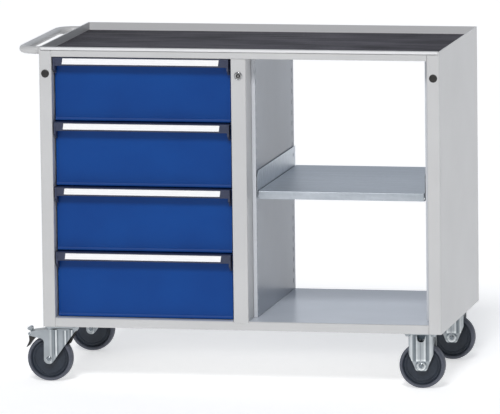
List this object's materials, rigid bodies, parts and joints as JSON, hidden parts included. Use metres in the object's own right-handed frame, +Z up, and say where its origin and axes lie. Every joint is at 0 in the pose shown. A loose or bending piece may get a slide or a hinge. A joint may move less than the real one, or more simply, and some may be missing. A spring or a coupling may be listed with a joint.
{
  "type": "workbench with drawers",
  "caption": "Mobile steel workbench with a bank of drawers, an open shelf bay, a rimmed tray top with a ribbed rubber mat, a push handle and swivel and fixed casters.",
  "frame": {"origin": "on the floor under the middle of the whole outline, the push handle included", "axes": "+X along the bench from the handle to the fixed casters, +Y from the drawer fronts to the back, +Z up"},
  "size_m": [1.177, 0.6032, 0.92],
  "materials": {
    "grey_powder_coat": "semi-gloss powder coat",
    "blue_powder_coat": "semi-gloss powder coat",
    "galvanised_steel": "galvanised, dull",
    "zinc_plated_steel": "bright zinc plate",
    "chrome": "polished",
    "black_plastic": "moulded",
    "grip_plastic": "moulded",
    "white_label": "matt",
    "ribbed_rubber": "finely ribbed",
    "wheel_rubber": "smooth",
    "wheel_nylon": "moulded"
  },
  "bodies": {
    "carcass": {"left_side_panel": "grey_powder_coat", "right_side_panel": "grey_powder_coat", "base_pan": "grey_powder_coat", "divider": "grey_powder_coat", "bay_wall_left": "grey_powder_coat", "bay_wall_right": "grey_powder_coat", "drawer_bay_back": "grey_powder_coat", "top_rail": "grey_powder_coat", "worktop_tray": "grey_powder_coat", "ribbed_mat": "ribbed_rubber", "shelf": "galvanised_steel", "push_handle": "grey_powder_coat", "post_plug_left": "black_plastic", "post_plug_right": "black_plastic", "lock_body": "chrome", "drawer_1_runner_left": "galvanised_steel", "drawer_1_runner_right": "galvanised_steel", "drawer_2_runner_left": "galvanised_steel", "drawer_2_runner_right": "galvanised_steel", "drawer_3_runner_left": "galvanised_steel", "drawer_3_runner_right": "galvanised_steel", "drawer_4_runner_left": "galvanised_steel", "drawer_4_runner_right": "galvanised_steel", "swivel_front_plate": "zinc_plated_steel", "fixed_front_fork": "zinc_plated_steel", "fixed_front_axle": "zinc_plated_steel", "swivel_rear_plate": "zinc_plated_steel", "fixed_rear_fork": "zinc_plated_steel", "fixed_rear_axle": "zinc_plated_steel"},
    "drawer_1": {"drawer_1_body": "blue_powder_coat", "drawer_1_front": "blue_powder_coat", "drawer_1_grip": "grip_plastic", "drawer_1_label": "white_label"},
    "drawer_2": {"drawer_2_body": "blue_powder_coat", "drawer_2_front": "blue_powder_coat", "drawer_2_grip": "grip_plastic", "drawer_2_label": "white_label"},
    "drawer_3": {"drawer_3_body": "blue_powder_coat", "drawer_3_front": "blue_powder_coat", "drawer_3_grip": "grip_plastic", "drawer_3_label": "white_label"},
    "drawer_4": {"drawer_4_body": "blue_powder_coat", "drawer_4_front": "blue_powder_coat", "drawer_4_grip": "grip_plastic", "drawer_4_label": "white_label"},
    "lock_cylinder": {"lock_cylinder": "chrome"},
    "swivel_front_fork": {"swivel_front_fork": "zinc_plated_steel", "swivel_front_axle": "zinc_plated_steel"},
    "swivel_front_wheel": {"swivel_front_hub": "wheel_nylon", "swivel_front_tyre": "wheel_rubber"},
    "swivel_front_pedal": {"swivel_front_pedal": "black_plastic"},
    "fixed_front_wheel": {"fixed_front_hub": "wheel_nylon", "fixed_front_tyre": "wheel_rubber"},
    "swivel_rear_fork": {"swivel_rear_fork": "zinc_plated_steel", "swivel_rear_axle": "zinc_plated_steel"},
    "swivel_rear_wheel": {"swivel_rear_hub": "wheel_nylon", "swivel_rear_tyre": "wheel_rubber"},
    "swivel_rear_pedal": {"swivel_rear_pedal": "black_plastic"},
    "fixed_rear_wheel": {"fixed_rear_hub": "wheel_nylon", "fixed_rear_tyre": "wheel_rubber"}
  },
  "joints": [
    {"name": "drawer_1_slide", "type": "slide", "parent": "carcass", "child": "drawer_1", "axis": [0, -1, 0], "range_m": [0, 0.45]},
    {"name": "drawer_2_slide", "type": "slide", "parent": "carcass", "child": "drawer_2", "axis": [0, -1, 0], "range_m": [0, 0.45]},
    {"name": "drawer_3_slide", "type": "slide", "parent": "carcass", "child": "drawer_3", "axis": [0, -1, 0], "range_m": [0, 0.45]},
    {"name": "drawer_4_slide", "type": "slide", "parent": "carcass", "child": "drawer_4", "axis": [0, -1, 0], "range_m": [0, 0.45]},
    {"name": "lock_turn", "type": "hinge", "parent": "carcass", "child": "lock_cylinder", "pos_m": [0.039, -0.29835, 0.848], "axis": [0, -1, 0], "range_deg": [0, 90]},
    {"name": "swivel_front_turn", "type": "hinge", "parent": "carcass", "child": "swivel_front_fork", "pos_m": [-0.4615, -0.25335, 0.15], "axis": [0, 0, 1], "continuous": true},
    {"name": "swivel_front_roll", "type": "hinge", "parent": "swivel_front_fork", "child": "swivel_front_wheel", "pos_m": [-0.5015, -0.25335, 0.0625], "axis": [0, 1, 0], "continuous": true},
    {"name": "swivel_front_brake", "type": "hinge", "parent": "swivel_front_fork", "child": "swivel_front_pedal", "pos_m": [-0.5525, -0.25335, 0.13], "axis": [0, -1, 0], "range_deg": [0, 7]},
    {"name": "fixed_front_roll", "type": "hinge", "parent": "carcass", "child": "fixed_front_wheel", "pos_m": [0.5255, -0.23735, 0.0625], "axis": [0, 1, 0], "continuous": true},
    {"name": "swivel_rear_turn", "type": "hinge", "parent": "carcass", "child": "swivel_rear_fork", "pos_m": [-0.4615, 0.25665, 0.15], "axis": [0, 0, 1], "continuous": true},
    {"name": "swivel_rear_roll", "type": "hinge", "parent": "swivel_rear_fork", "child": "swivel_rear_wheel", "pos_m": [-0.5015, 0.25665, 0.0625], "axis": [0, 1, 0], "continuous": true},
    {"name": "swivel_rear_brake", "type": "hinge", "parent": "swivel_rear_fork", "child": "swivel_rear_pedal", "pos_m": [-0.5525, 0.25665, 0.13], "axis": [0, -1, 0], "range_deg": [0, 7]},
    {"name": "fixed_rear_roll", "type": "hinge", "parent": "carcass", "child": "fixed_rear_wheel", "pos_m": [0.5255, 0.24065, 0.0625], "axis": [0, 1, 0], "continuous": true}
  ]
}
